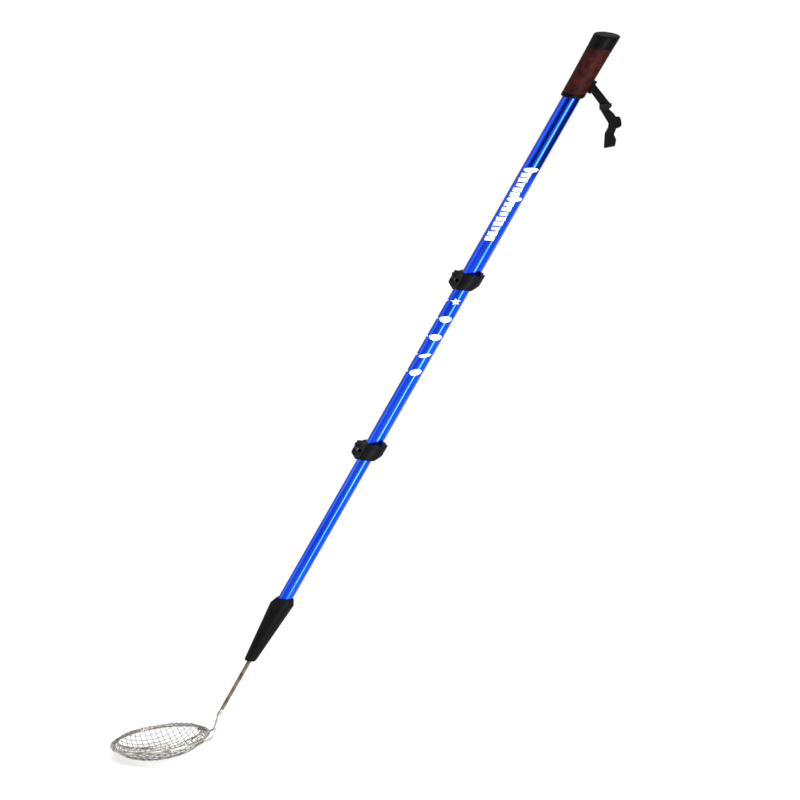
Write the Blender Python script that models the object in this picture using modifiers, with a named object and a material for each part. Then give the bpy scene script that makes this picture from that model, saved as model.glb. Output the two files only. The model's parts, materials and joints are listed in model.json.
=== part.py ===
"""Telescoping scoop: a wire-mesh basket on a three-section aluminium pole with cam-lever clamps.

The origin is the centre of the hand grip. The pole leans in the XZ plane, with the basket at its lower end.
Lengths along the pole are measured on its own axis, from the grip centre, upwards.
"""

import math

import bmesh
import bpy
from mathutils import Matrix, Vector

MM = 0.001

# Pose of the pole and the basket
LEAN = math.radians(29.04)
BASKET_TILT = math.radians(8.2)
RAKE = math.tan(math.radians(21.5))  # moulded ends are cut on this slope, so that they sit near level

# Lengths along the pole
GRIP_LENGTH = 104 * MM
UPPER_SPAN = 309.5 * MM  # grip's lower end to the upper clamp's centre
MIDDLE_SPAN = 288 * MM  # clamp centre to clamp centre
LOWER_SPAN = 251.5 * MM  # lower clamp's centre to the ferrule's top
FERRULE_LENGTH = 107 * MM
ROD_SHOWN = 95.5 * MM  # ferrule's tip to the fork

# Tubes: the middle one slides in the upper one, and the lower one in the middle one
GAP = 0.3 * MM  # between pieces that touch
SLIDE_GAP = 0.25 * MM  # between pieces that slide
UPPER_RADIUS = 12.5 * MM
UPPER_WALL = 1.25 * MM
MIDDLE_WALL = 1.0 * MM
LOWER_WALL = 1.0 * MM
MIDDLE_RADIUS = UPPER_RADIUS - UPPER_WALL - SLIDE_GAP
LOWER_RADIUS = MIDDLE_RADIUS - MIDDLE_WALL - SLIDE_GAP
TUBE_OVERLAP = 75 * MM  # how far each tube reaches into the next when fully drawn out
BUSH_FLANGE = 4 * MM
BUSH_PLUG = 14 * MM
BUSH_WALL = 2.2 * MM

# Grip
CORE_WALL = 1.4 * MM
GRIP_TOP_WALL = 3.5 * MM  # sleeve over the core, at the grip's top, middle and bottom
GRIP_MIDDLE_WALL = 2.1 * MM
GRIP_BOTTOM_WALL = 1.5 * MM
CAP_HEIGHT = 20 * MM
CAP_CROWN = 1.0 * MM
CAP_FLAT_RADIUS = 9 * MM
CAP_EDGE = 2.5 * MM
CAP_SPIGOT = 8 * MM
COLLAR_HEIGHT = 7 * MM
TUBE_SETBACK = 6 * MM  # tube's upper end below the sleeve's
CORE_RADIUS = UPPER_RADIUS + GAP + CORE_WALL
SLEEVE_BORE = CORE_RADIUS + GAP

# Clamps
CLAMP_HEIGHT = 25.5 * MM
CLAMP_WALL = 4 * MM  # over the upper tube
CLAMP_RADIUS = UPPER_RADIUS + CLAMP_WALL
CLAMP_SLIT = 3 * MM
EAR_REACH = CLAMP_RADIUS + 5.5 * MM
EAR_HALF_WIDTH = 8.5 * MM
EAR_STEP = 1.5 * MM  # ears stop this far inside the collar's ends
BARREL_RADIUS = 3.0 * MM
BARREL_X = -(CLAMP_RADIUS + 2.5 * MM)
BARREL_INSET = 2 * MM  # barrel's upper end below the lever's
CAM_RADIUS = 5.4 * MM
CAM_CLEARANCE = 0.6 * MM
LEVER_CLEARANCE = 0.7 * MM
LEVER_THICKNESS = 2.8 * MM
LEVER_TIP_ANGLE = -20
BOLT_RADIUS = 2.0 * MM
NOTCH_HEIGHT = 4.6 * MM
NOTCH_OFFSET = 3.5 * MM
NUT_RADIUS = 4.2 * MM
NUT_THICKNESS = 3.2 * MM
CORNER_CUT = 8 * MM  # height and width of the sloping cut under the cam
FAR_CORNER_CUT = 5.5 * MM  # the same on the lever's thumb side

# Ferrule and rod
FERRULE_TIP_RADIUS = 8.0 * MM
FERRULE_TOP_WALL = 1.25 * MM  # over the lower tube, at the ferrule's top and at its shoulder
FERRULE_WIDE_WALL = 5.95 * MM
FERRULE_TOP_RADIUS = LOWER_RADIUS + GAP + FERRULE_TOP_WALL
FERRULE_WIDE_RADIUS = LOWER_RADIUS + GAP + FERRULE_WIDE_WALL
FERRULE_SHOULDER = 10.5 * MM
TUBE_SEAT = 62 * MM  # how far the lower tube goes into the ferrule
ROD_RADIUS = 3.1 * MM
ROD_TIP_RADIUS = 2.6 * MM
INSERT_LENGTH = 30 * MM
PIN_RADIUS = 1.5 * MM

# Basket, in its own frame: centre of the rim, +X towards the pole, +Z out of the bowl
RIM_RADIUS = 71.4 * MM
RIM_WIRE = 2.15 * MM
TOP_RING_INSET = 9.4 * MM  # top ring's radius is this much less than the rim's
TOP_RING_RADIUS = RIM_RADIUS - TOP_RING_INSET
TOP_RING_WIRE = 1.0 * MM
TOP_RING_RISE = 5.0 * MM
FORK_OUT = 16.3 * MM  # fork point beyond the rim wire
FORK_RISE = 22.4 * MM
BOWL_DEPTH = 21.5 * MM
BOWL_FLAT = 0.437  # flat floor's share of the bowl's radius
MESH_THICKNESS = 1.0 * MM
ARM_WIRE = 1.6 * MM
ARM_LAP = 12 * MM  # how far each arm lies along the rod
ARM_HOLD_ANGLES = (24, 40)  # stretch of the rim that each arm runs under

# Strap, lying in the pole's plane; the pin is parallel to the pole
STRAP_PIN_DROP = 26 * MM  # below the grip's centre
STRAP_PIN_OUT = 2.2 * MM  # beyond the grip's surface
STRAP_PIN_RADIUS = 1.0 * MM
STRAP_WIDTH = 15 * MM
WEB_THICKNESS = 1.4 * MM
PLY_SPACING = WEB_THICKNESS + 0.5 * MM  # middle of the loop to the middle of each ply
SLIDER_WALL = 0.55 * MM
SLIDER_THICKNESS = 2 * PLY_SPACING + WEB_THICKNESS + 2 * SLIDER_WALL
BRACKET_HALF_WIDTH = 3.2 * MM
BRACKET_WALL = 2.4 * MM
BRACKET_NOSE = 1.6 * MM  # bracket beyond the pin

# Outlines of the strap's flat pieces: level X and Z from the pin, in millimetres
STRAP_WEB = [(5.2, 3.6), (26.6, -23.4), (10.9, -23.4), (-1.2, -7.9)]
STRAP_SLIDER = [(10.2, -24.0), (27.6, -24.0), (28.6, -27.4), (23.2, -33.0), (10.2, -33.0)]
STRAP_LOOP = [
    (10.2, -33.6), (23.0, -33.6), (29.9, -37.8), (34.8, -44.5), (36.5, -54.0), (34.2, -62.0), (31.2, -69.9),
    (34.8, -77.3), (32.9, -86.7), (16.8, -89.6), (18.0, -68.6), (22.6, -60.0), (23.5, -53.2),
]  # fmt: skip
STRAP_TAIL = [
    (24.5, -40.0), (35.5, -43.4), (39.6, -43.4), (42.0, -48.9), (42.4, -57.5), (35.0, -61.2), (26.0, -52.0),
]  # fmt: skip

SEGMENTS = 32

# Stations on the pole
GRIP_BOTTOM = -GRIP_LENGTH / 2
GRIP_TOP = GRIP_LENGTH / 2
UPPER_CLAMP = GRIP_BOTTOM - UPPER_SPAN
LOWER_CLAMP = UPPER_CLAMP - MIDDLE_SPAN
FERRULE_TOP = LOWER_CLAMP - LOWER_SPAN
FERRULE_TIP = FERRULE_TOP - FERRULE_LENGTH
FORK = FERRULE_TIP - ROD_SHOWN

for old in list(bpy.data.objects):
    bpy.data.objects.remove(old, do_unlink=True)

PARTS = bpy.data.collections.new("telescoping_scoop")
CUTTERS = bpy.data.collections.new("cutters")
bpy.context.scene.collection.children.link(PARTS)
bpy.context.scene.collection.children.link(CUTTERS)


def material(name, colour, roughness, metallic=0.0):
    """A plain Principled material."""
    made = bpy.data.materials.new(name)
    made.use_nodes = True
    shader = made.node_tree.nodes["Principled BSDF"]
    shader.inputs["Base Color"].default_value = (*colour, 1)
    shader.inputs["Roughness"].default_value = roughness
    shader.inputs["Metallic"].default_value = metallic
    made.diffuse_color = (*colour, 1)
    return made


BLUE = material("blue_anodised", (0.01, 0.07, 0.75), 0.25, 1.0)
BLACK = material("black_plastic", (0.012, 0.012, 0.014), 0.45)
CORK = material("brown_sleeve", (0.11, 0.045, 0.03), 0.7)
STEEL = material("bright_steel", (0.7, 0.7, 0.7), 0.25, 1.0)
ZINC = material("zinc_fastener", (0.5, 0.5, 0.52), 0.35, 1.0)
WEBBING = material("black_webbing", (0.014, 0.014, 0.016), 0.85)
NYLON = material("grey_nylon", (0.2, 0.2, 0.2), 0.5)


def empty(name, parent=None, location=(0, 0, 0), turn_about_y=0.0):
    """An empty that carries a frame of its own."""
    made = bpy.data.objects.new(name, None)
    PARTS.objects.link(made)
    made.parent = parent
    made.location = location
    made.rotation_euler = (0, turn_about_y, 0)
    return made


POLE = empty("pole_axis", turn_about_y=LEAN)
BASKET_ANGLE = LEAN + BASKET_TILT
FORK_IN_BASKET = Vector((RIM_RADIUS + FORK_OUT, 0, FORK_RISE))
POLE_IN_BASKET = Vector((math.sin(BASKET_ANGLE), 0, math.cos(BASKET_ANGLE)))
BASKET = empty(
    "basket_frame",
    POLE,
    Vector((0, 0, FORK)) - Matrix.Rotation(-BASKET_ANGLE, 3, "Y") @ FORK_IN_BASKET,
    -BASKET_ANGLE,
)


def place(name, mesh, look, parent=POLE, location=(0, 0, 0), cutter=False):
    """Puts a mesh in the scene as one named sub-part, or as a hidden cutter."""
    made = bpy.data.objects.new(name, mesh)
    (CUTTERS if cutter else PARTS).objects.link(made)
    made.parent = parent
    made.location = location
    if cutter:
        made.hide_render = True
        made.display_type = "WIRE"
    else:
        mesh.materials.clear()
        mesh.materials.append(look)
        mesh.shade_smooth()
        mesh.set_sharp_from_angle(angle=math.radians(35))
    return made


def mesh_of(source):
    """The evaluated mesh of a guide object, with its caps welded. The guide is removed."""
    bpy.context.scene.collection.objects.link(source)
    graph = bpy.context.evaluated_depsgraph_get()
    mesh = bpy.data.meshes.new_from_object(source.evaluated_get(graph))
    bpy.data.objects.remove(source)
    work = bmesh.new()
    work.from_mesh(mesh)
    bmesh.ops.remove_doubles(work, verts=work.verts, dist=1e-6)
    bmesh.ops.recalc_face_normals(work, faces=work.faces)
    work.to_mesh(mesh)
    work.free()
    return mesh


def turned(outline, closed=True, steps=SEGMENTS):
    """A turned shape from (radius, height) points, down the outer side first."""
    mesh = bpy.data.meshes.new("turned")
    count = len(outline)
    edges = [(i, (i + 1) % count) for i in range(count if closed else count - 1)]
    mesh.from_pydata([(r, 0, z) for r, z in outline], edges, [])
    guide = bpy.data.objects.new("turned", mesh)
    screw = guide.modifiers.new("turn", "SCREW")
    screw.steps = screw.render_steps = steps
    screw.use_merge_vertices = True
    screw.merge_threshold = 1e-5
    return mesh_of(guide)


def ring_outline(outer, inner, low, high):
    """The section of a plain tube or ring."""
    return [(outer, high), (outer, low), (inner, low), (inner, high)]


def rod_mesh(radius, low, high, steps=SEGMENTS):
    """A solid round bar along Z."""
    return turned([(0, high), (radius, high), (radius, low), (0, low)], False, steps)


def box_mesh(low, high):
    """A box between two corners."""
    low, high = Vector(low), Vector(high)
    work = bmesh.new()
    bmesh.ops.create_cube(work, size=1)
    size = high - low
    bmesh.ops.scale(work, vec=size, verts=work.verts)
    bmesh.ops.translate(work, vec=(low + high) / 2, verts=work.verts)
    mesh = bpy.data.meshes.new("box")
    work.to_mesh(mesh)
    work.free()
    return mesh


def flat_outline(points, half_thickness):
    """A flat outline in XY, extruded both ways along Z."""
    curve = bpy.data.curves.new("outline", "CURVE")
    curve.dimensions = "2D"
    curve.fill_mode = "BOTH"
    curve.extrude = half_thickness
    spline = curve.splines.new("POLY")
    spline.points.add(len(points) - 1)
    for point, (x, y) in zip(spline.points, points):
        point.co = (x, y, 0, 1)
    spline.use_cyclic_u = True
    return mesh_of(bpy.data.objects.new("outline", curve))


def wire_mesh(points, radius):
    """A round wire through the points."""
    curve = bpy.data.curves.new("wire", "CURVE")
    curve.dimensions = "3D"
    curve.bevel_depth = radius
    curve.bevel_resolution = 2
    curve.use_fill_caps = True
    spline = curve.splines.new("POLY")
    spline.points.add(len(points) - 1)
    for point, place_ in zip(spline.points, points):
        point.co = (*place_, 1)
    return mesh_of(bpy.data.objects.new("wire", curve))


def raked(mesh):
    """Slopes the ends of a piece. Sections across the pole keep their shape, so bores still fit."""
    mesh.transform(Matrix(((1, 0, 0, 0), (0, 1, 0, 0), (RAKE, 0, 1, 0), (0, 0, 0, 1))))
    return mesh


def turned_to(mesh, angle, axis):
    """The mesh turned about a main axis."""
    mesh.transform(Matrix.Rotation(math.radians(angle), 4, axis))
    return mesh


def arc(radius, start, end, count, centre=(0, 0)):
    """Points along an arc, angles in degrees."""
    angles = [math.radians(start + (end - start) * i / (count - 1)) for i in range(count)]
    return [(centre[0] + radius * math.cos(a), centre[1] + radius * math.sin(a)) for a in angles]


def offset_inwards(outline, distance):
    """The outline of a bowl moved in by its wall, from its mouth down to the axis."""
    moved_points = []
    for i, (r, z) in enumerate(outline):
        before = outline[max(i - 1, 0)]
        after = outline[min(i + 1, len(outline) - 1)]
        run = Vector((after[0] - before[0], after[1] - before[1])).normalized()
        moved_points.append((max(r + run.y * distance, 0) if r else 0, z - run.x * distance))
    return moved_points


def smooth_path(points, per_span):
    """Points along a Catmull-Rom curve through the given ones."""
    points = [Vector(p) for p in points]
    ends = [2 * points[0] - points[1], *points, 2 * points[-1] - points[-2]]
    path = []
    for i in range(len(points) - 1):
        a, b, c, d = ends[i : i + 4]
        for step in range(per_span):
            t = step / per_span
            path.append(
                0.5
                * (2 * b + (c - a) * t + (2 * a - 5 * b + 4 * c - d) * t**2 + (3 * b - a - 3 * c + d) * t**3)
            )
    return [*path, points[-1]]


def cut(obj, cutter, operation="DIFFERENCE"):
    """Cuts or joins a part with another mesh object."""
    boolean = obj.modifiers.new(cutter.name, "BOOLEAN")
    boolean.operation = operation
    boolean.object = cutter


def bevel(obj, width, segments=2, angle=40):
    """Rounds the sharp edges of a part."""
    rounded = obj.modifiers.new("bevel", "BEVEL")
    rounded.width = width
    rounded.segments = segments
    rounded.limit_method = "ANGLE"
    rounded.angle_limit = math.radians(angle)


def tube(name, radius, wall, low, high):
    """One pole section."""
    return place(name, turned(ring_outline(radius, radius - wall, low, high)), BLUE)


def guide_bush(name, bore, tube_radius, tube_wall, top):
    """The nylon guide in the upper end of an inner tube: a plug with a flange that runs in the outer tube."""
    plug_radius = tube_radius - tube_wall - GAP
    flange_top = top + GAP + BUSH_FLANGE
    outline = [
        (bore - SLIDE_GAP, flange_top),
        (bore - SLIDE_GAP, top + GAP),
        (plug_radius, top + GAP),
        (plug_radius, top - BUSH_PLUG),
        (plug_radius - BUSH_WALL, top - BUSH_PLUG),
        (plug_radius - BUSH_WALL, flange_top),
    ]
    place(name, turned(outline), NYLON)


def corner_cutter(name, start, size, station):
    """A wedge that slopes a lower corner of the clamp, from its outer end inwards and down."""
    low = -CLAMP_HEIGHT / 2 - size
    way = math.copysign(size, start)
    outline = [(start + way, low + 3 * size), (start - 2 * way, low), (start + way, low)]
    wedge = turned_to(flat_outline(outline, 2 * EAR_REACH), 90, "X")
    return place(name, raked(wedge), None, location=(0, 0, station), cutter=True)


def clamp(prefix, station, outer_tube, inner_tube):
    """A split collar on the end of an outer tube, with a cam lever on a barrel pin parallel to the pole."""
    half = CLAMP_HEIGHT / 2
    barrel_y = -(EAR_HALF_WIDTH + CAM_CLEARANCE + CAM_RADIUS)
    bolt_height = NOTCH_OFFSET + RAKE * BARREL_X
    at = (0, 0, station)
    reach = 4 * half  # beyond the clamp, for cutters
    near_corner = corner_cutter(f"{prefix}_near_corner", -EAR_REACH, CORNER_CUT, station)
    far_corner = corner_cutter(f"{prefix}_far_corner", CLAMP_RADIUS, FAR_CORNER_CUT, station)

    collar = place(f"{prefix}_clamp_collar", raked(rod_mesh(CLAMP_RADIUS, -half, half)), BLACK, location=at)
    low = (-EAR_REACH, -EAR_HALF_WIDTH, -half + EAR_STEP)
    ears = box_mesh(low, (0, EAR_HALF_WIDTH, half - EAR_STEP))
    ears = place(f"{prefix}_ears", raked(ears), None, location=at, cutter=True)
    cut(collar, ears, "UNION")
    bore = turned(
        [
            (0, reach),
            (outer_tube + GAP, reach),
            (outer_tube + GAP, 0),
            (inner_tube + SLIDE_GAP, 0),
            (inner_tube + SLIDE_GAP, -reach),
            (0, -reach),
        ],
        closed=False,
    )
    cut(collar, place(f"{prefix}_bore", bore, None, location=at, cutter=True))
    slit = box_mesh((-2 * EAR_REACH, -CLAMP_SLIT / 2, -reach), (-inner_tube / 2, CLAMP_SLIT / 2, reach))
    cut(collar, place(f"{prefix}_slit", slit, None, location=at, cutter=True))
    hole = turned_to(rod_mesh(BOLT_RADIUS + GAP, -reach, reach, 16), 90, "X")
    bolt_at = (BARREL_X, 0, station + bolt_height)
    cut(collar, place(f"{prefix}_bolt_hole", hole, None, location=bolt_at, cutter=True))
    cut(collar, near_corner)
    cut(collar, far_corner)

    barrel_at = (BARREL_X, barrel_y, station + RAKE * BARREL_X)
    bolt_start = barrel_y + BARREL_RADIUS + GAP
    nut_start = EAR_HALF_WIDTH + GAP
    bolt_end = nut_start + NUT_THICKNESS + 1 * MM
    barrel = rod_mesh(BARREL_RADIUS, NOTCH_OFFSET - NOTCH_HEIGHT, half - BARREL_INSET, 16)
    place(f"{prefix}_clamp_barrel", barrel, ZINC, location=barrel_at)
    bolt = turned_to(rod_mesh(BOLT_RADIUS, -bolt_end, -bolt_start, 16), 90, "X")
    place(f"{prefix}_clamp_bolt", bolt, ZINC, location=bolt_at)
    nut_section = ring_outline(NUT_RADIUS, BOLT_RADIUS + GAP, -nut_start - NUT_THICKNESS, -nut_start)
    nut = turned(nut_section, steps=6)
    place(f"{prefix}_clamp_nut", turned_to(nut, 90, "X"), ZINC, location=bolt_at)

    inner = CLAMP_RADIUS + LEVER_CLEARANCE
    outer = inner + LEVER_THICKNESS
    pivot = (BARREL_X, barrel_y)
    toward = math.degrees(math.atan2(barrel_y, BARREL_X))
    outline = [
        *arc(outer, LEVER_TIP_ANGLE, toward + 23, 11),
        *arc(CAM_RADIUS, -110, -330, 12, pivot),
        *arc(inner, toward + 3, LEVER_TIP_ANGLE, 12),
    ]
    shape = [(x - BARREL_X, y - barrel_y) for x, y in outline]
    lever = place(f"{prefix}_clamp_lever", raked(flat_outline(shape, half)), BLACK, location=barrel_at)
    eye = rod_mesh(BARREL_RADIUS + GAP, -reach, reach, 16)
    cut(lever, place(f"{prefix}_lever_eye", eye, None, location=barrel_at, cutter=True))
    low = (-2 * CAM_RADIUS, -2 * CAM_RADIUS, NOTCH_OFFSET - NOTCH_HEIGHT / 2)
    high = (CAM_RADIUS + 1 * MM, 2 * CAM_RADIUS, NOTCH_OFFSET + NOTCH_HEIGHT / 2)
    notch = place(f"{prefix}_lever_notch", box_mesh(low, high), None, location=barrel_at, cutter=True)
    cut(lever, notch)
    cut(lever, near_corner)
    cut(lever, far_corner)
    bevel(lever, 0.6 * MM)


def pole_sections():
    """Three tubes that slide in each other, and the guides on the inner ones."""
    tube("upper_tube", UPPER_RADIUS, UPPER_WALL, UPPER_CLAMP + GAP, GRIP_TOP - CAP_HEIGHT - TUBE_SETBACK)
    middle_top = UPPER_CLAMP + TUBE_OVERLAP
    tube("middle_tube", MIDDLE_RADIUS, MIDDLE_WALL, LOWER_CLAMP + GAP, middle_top)
    guide_bush("middle_guide_bush", UPPER_RADIUS - UPPER_WALL, MIDDLE_RADIUS, MIDDLE_WALL, middle_top)
    lower_top = LOWER_CLAMP + TUBE_OVERLAP
    lower = tube("lower_tube", LOWER_RADIUS, LOWER_WALL, FERRULE_TOP - TUBE_SEAT, lower_top)
    guide_bush("lower_guide_bush", MIDDLE_RADIUS - MIDDLE_WALL, LOWER_RADIUS, LOWER_WALL, lower_top)
    return lower


def grip_radius(height):
    """Outer radius of the grip: its sleeve's bore, and a wall on a curve through three thicknesses."""
    share = (height - GRIP_BOTTOM) / GRIP_LENGTH
    low, middle, high = GRIP_BOTTOM_WALL, GRIP_MIDDLE_WALL, GRIP_TOP_WALL
    wall = low * (1 - share) * (1 - 2 * share) + 4 * middle * share * (1 - share)
    return SLEEVE_BORE + wall + high * share * (2 * share - 1)


def grip():
    """Moulded core on the tube, a brown sleeve, a cap that plugs the tube and a collar."""
    bore = UPPER_RADIUS + GAP
    sleeve_low = GRIP_BOTTOM + COLLAR_HEIGHT
    sleeve_high = GRIP_TOP - CAP_HEIGHT
    core = turned(ring_outline(CORE_RADIUS, bore, sleeve_low + GAP, sleeve_high - GAP))
    place("grip_core", raked(core), BLACK)

    heights = [sleeve_high - GAP - (sleeve_high - sleeve_low - 2 * GAP) * i / 8 for i in range(9)]
    outline = [(grip_radius(z), z) for z in heights]
    outline += [(SLEEVE_BORE, heights[-1]), (SLEEVE_BORE, heights[0])]
    sleeve = place("grip_sleeve", raked(turned(outline)), CORK)

    collar = [
        (grip_radius(sleeve_low), sleeve_low),
        (grip_radius(GRIP_BOTTOM), GRIP_BOTTOM + 2 * MM),
        (grip_radius(GRIP_BOTTOM) - 1 * MM, GRIP_BOTTOM),
        (bore, GRIP_BOTTOM),
        (bore, sleeve_low),
    ]
    place("grip_collar", raked(turned(collar)), BLACK)

    top_radius = grip_radius(GRIP_TOP)
    cap = [
        (0, GRIP_TOP + CAP_CROWN),
        (CAP_FLAT_RADIUS, GRIP_TOP + CAP_CROWN),
        (top_radius - CAP_EDGE, GRIP_TOP + 0.6 * CAP_CROWN),
        (top_radius - 0.16 * CAP_EDGE, GRIP_TOP - 0.2 * CAP_EDGE),
        (top_radius, GRIP_TOP - CAP_EDGE),
        (grip_radius(sleeve_high), sleeve_high),
        (0, sleeve_high),
    ]
    cap = place("grip_cap", raked(turned(cap, closed=False)), BLACK)
    spigot_top = sleeve_high + 0.3 * CAP_HEIGHT
    spigot_low = sleeve_high - TUBE_SETBACK - CAP_SPIGOT
    spigot = rod_mesh(UPPER_RADIUS - UPPER_WALL - GAP, spigot_low, spigot_top)
    cut(cap, place("cap_spigot", spigot, None, cutter=True), "UNION")
    return sleeve


def strap(sleeve):
    """A webbing loop on a pin beside the grip. Its pieces lie flat in the pole's plane."""
    pin_z = -STRAP_PIN_DROP
    pin_x = grip_radius(pin_z) + STRAP_PIN_OUT
    half = STRAP_WIDTH / 2
    ends = half + GAP + BRACKET_WALL
    bracket_back = SLEEVE_BORE + GAP
    nose = STRAP_PIN_RADIUS + BRACKET_NOSE

    low = (bracket_back, -BRACKET_HALF_WIDTH, pin_z - ends)
    high = (pin_x + nose, BRACKET_HALF_WIDTH, pin_z + ends)
    bracket = place("strap_bracket", box_mesh(low, high), BLACK)
    bevel(bracket, 0.8 * MM)
    inside = nose + WEB_THICKNESS + GAP
    low = (pin_x - nose - GAP, -2 * BRACKET_HALF_WIDTH, pin_z - half - GAP)
    high = (pin_x + 2 * nose, 2 * BRACKET_HALF_WIDTH, pin_z + half + GAP)
    cut(bracket, place("bracket_window", box_mesh(low, high), None, cutter=True))
    hole = rod_mesh(STRAP_PIN_RADIUS + GAP, pin_z - 2 * ends, pin_z + 2 * ends, 16)
    cut(bracket, place("bracket_hole", hole, None, location=(pin_x, 0, 0), cutter=True))
    low = (0, -BRACKET_HALF_WIDTH - GAP, pin_z - ends - GAP)
    high = (pin_x + inside, BRACKET_HALF_WIDTH + GAP, pin_z + ends + GAP)
    pocket = box_mesh(low, high)
    cut(sleeve, place("sleeve_pocket", pocket, None, cutter=True))
    pin = rod_mesh(STRAP_PIN_RADIUS, pin_z - ends, pin_z + ends, 16)
    place("strap_pin", pin, ZINC, location=(pin_x, 0, 0))

    anchor = Matrix.Rotation(LEAN, 3, "Y") @ Vector((pin_x, 0, pin_z))
    loop_bore = STRAP_PIN_RADIUS + GAP
    loop = turned(ring_outline(loop_bore + 0.8 * WEB_THICKNESS, loop_bore, -half, half), steps=16)
    place("strap_root", loop, WEBBING, location=(pin_x, 0, pin_z))

    def ply(name, outline, middle, thickness, look=WEBBING):
        """A flat piece of the strap: world X and Z points from the pin, in millimetres."""
        points = [(x * MM, z * MM) for x, z in outline]
        mesh = turned_to(flat_outline(points, thickness / 2), 90, "X")
        return place(name, mesh, look, None, anchor + Vector((0, middle, 0)))

    web = WEB_THICKNESS
    ply("strap_web", STRAP_WEB, 0, 2 * web)
    ply("strap_slider", STRAP_SLIDER, 0, SLIDER_THICKNESS, BLACK)
    ply("strap_front_ply", STRAP_LOOP, -PLY_SPACING, web)
    ply("strap_back_ply", STRAP_LOOP, PLY_SPACING, web)
    ply("strap_tail", STRAP_TAIL, 0, web)


def ferrule_and_rod(lower_tube):
    """A tapered ferrule on the lower tube, and the rod that an insert and a cross pin hold in it."""
    seat = FERRULE_TOP - TUBE_SEAT
    outline = [
        (0, FERRULE_TOP),
        (FERRULE_TOP_RADIUS, FERRULE_TOP),
        (FERRULE_WIDE_RADIUS, FERRULE_TOP - FERRULE_SHOULDER),
        (FERRULE_TIP_RADIUS, FERRULE_TIP + 2 * MM),
        (FERRULE_TIP_RADIUS - 1.2 * MM, FERRULE_TIP),
        (0, FERRULE_TIP),
    ]
    ferrule = place("ferrule", raked(turned(outline, closed=False)), BLACK)
    above = FERRULE_TOP + 20 * MM
    below = FERRULE_TIP - 20 * MM
    bore = [
        (0, above),
        (LOWER_RADIUS + GAP, above),
        (LOWER_RADIUS + GAP, seat - GAP),
        (ROD_RADIUS + GAP, seat - GAP),
        (ROD_RADIUS + GAP, below),
        (0, below),
    ]
    cut(ferrule, place("ferrule_bore", turned(bore, closed=False), None, cutter=True))

    insert_high = seat + INSERT_LENGTH
    inner = LOWER_RADIUS - LOWER_WALL - GAP
    insert_section = ring_outline(inner, ROD_RADIUS + GAP, seat, insert_high)
    insert = place("rod_insert", turned(insert_section), ZINC)
    rod = [
        (0, insert_high),
        (ROD_RADIUS, insert_high),
        (ROD_RADIUS, FERRULE_TIP),
        (ROD_TIP_RADIUS, FORK + 1 * MM),
        (ROD_TIP_RADIUS - 0.8 * MM, FORK),
        (0, FORK),
    ]
    rod = place("basket_rod", turned(rod, closed=False, steps=16), STEEL)

    middle = (0, 0, seat + INSERT_LENGTH / 2)
    pin = turned_to(rod_mesh(PIN_RADIUS, -LOWER_RADIUS + GAP, LOWER_RADIUS - GAP, 16), 90, "X")
    place("rod_cross_pin", pin, ZINC, location=middle)
    drill = turned_to(rod_mesh(PIN_RADIUS + GAP, -2 * LOWER_RADIUS, 2 * LOWER_RADIUS, 16), 90, "X")
    drill = place("pin_drill", drill, None, location=middle, cutter=True)
    for piece in (insert, rod, lower_tube):
        cut(piece, drill)


def basket():
    """Rim, top ring, mesh bowl and the two arms of the fork."""
    for name, radius, wire, height, around in (
        ("rim_ring", RIM_RADIUS, RIM_WIRE, 0, 10),
        ("top_ring", TOP_RING_RADIUS, TOP_RING_WIRE, TOP_RING_RISE, 8),
    ):
        section = arc(wire, 90, -270 + 360 / around, around, (radius, height))
        place(name, turned(section, steps=64), STEEL, BASKET)

    side = RIM_RADIUS - RIM_WIRE - 2 * GAP
    outer = [
        (TOP_RING_RADIUS - TOP_RING_WIRE, TOP_RING_RISE - 1.1 * TOP_RING_WIRE),
        (side, 0),
        (side - 1.5 * MM, -4 * MM),
        (0.90 * side, -0.47 * BOWL_DEPTH),
        (0.79 * side, -0.68 * BOWL_DEPTH),
        (0.64 * side, -0.87 * BOWL_DEPTH),
        (BOWL_FLAT * side, -BOWL_DEPTH),
        (0, -BOWL_DEPTH),
    ]
    wall = [*reversed(offset_inwards(outer, MESH_THICKNESS)), *outer]
    place("basket_mesh", turned(wall, closed=False, steps=48), STEEL, BASKET)

    hold = RIM_WIRE + ARM_WIRE + GAP
    side_step = ROD_TIP_RADIUS + ARM_WIRE + 2 * GAP
    for name, side in (("fork_arm_front", -1), ("fork_arm_back", 1)):

        def around_rim(angle, out, rise):
            turn = math.radians(angle)
            reach = RIM_RADIUS + out
            return (reach * math.cos(turn), side * reach * math.sin(turn), rise)

        start = FORK_IN_BASKET + Vector((0, side * side_step, 0))
        first, last = ARM_HOLD_ANGLES
        route = [
            start + ARM_LAP * POLE_IN_BASKET,
            start + 0.4 * ARM_LAP * POLE_IN_BASKET,
            around_rim(0.20 * first, 0.85 * FORK_OUT, 0.69 * FORK_RISE),
            around_rim(0.33 * first, 0.70 * FORK_OUT, 0.33 * FORK_RISE),
            around_rim(0.52 * first, 0.55 * FORK_OUT, 0.02 * FORK_RISE),
            around_rim(0.74 * first, 0.36 * FORK_OUT, -0.84 * hold),
            around_rim(first, 0.09 * FORK_OUT, -hold),
            *(around_rim(first + (last - first) * i / 3, 0, -hold) for i in (1, 2, 3)),
        ]
        place(name, wire_mesh(smooth_path(route, 3), ARM_WIRE), STEEL, BASKET)


def build():
    """All sub-parts, from the grip down to the basket."""
    sleeve = grip()
    strap(sleeve)
    lower_tube = pole_sections()
    clamp("upper", UPPER_CLAMP, UPPER_RADIUS, MIDDLE_RADIUS)
    clamp("lower", LOWER_CLAMP, MIDDLE_RADIUS, LOWER_RADIUS)
    ferrule_and_rod(lower_tube)
    basket()


build()
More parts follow.
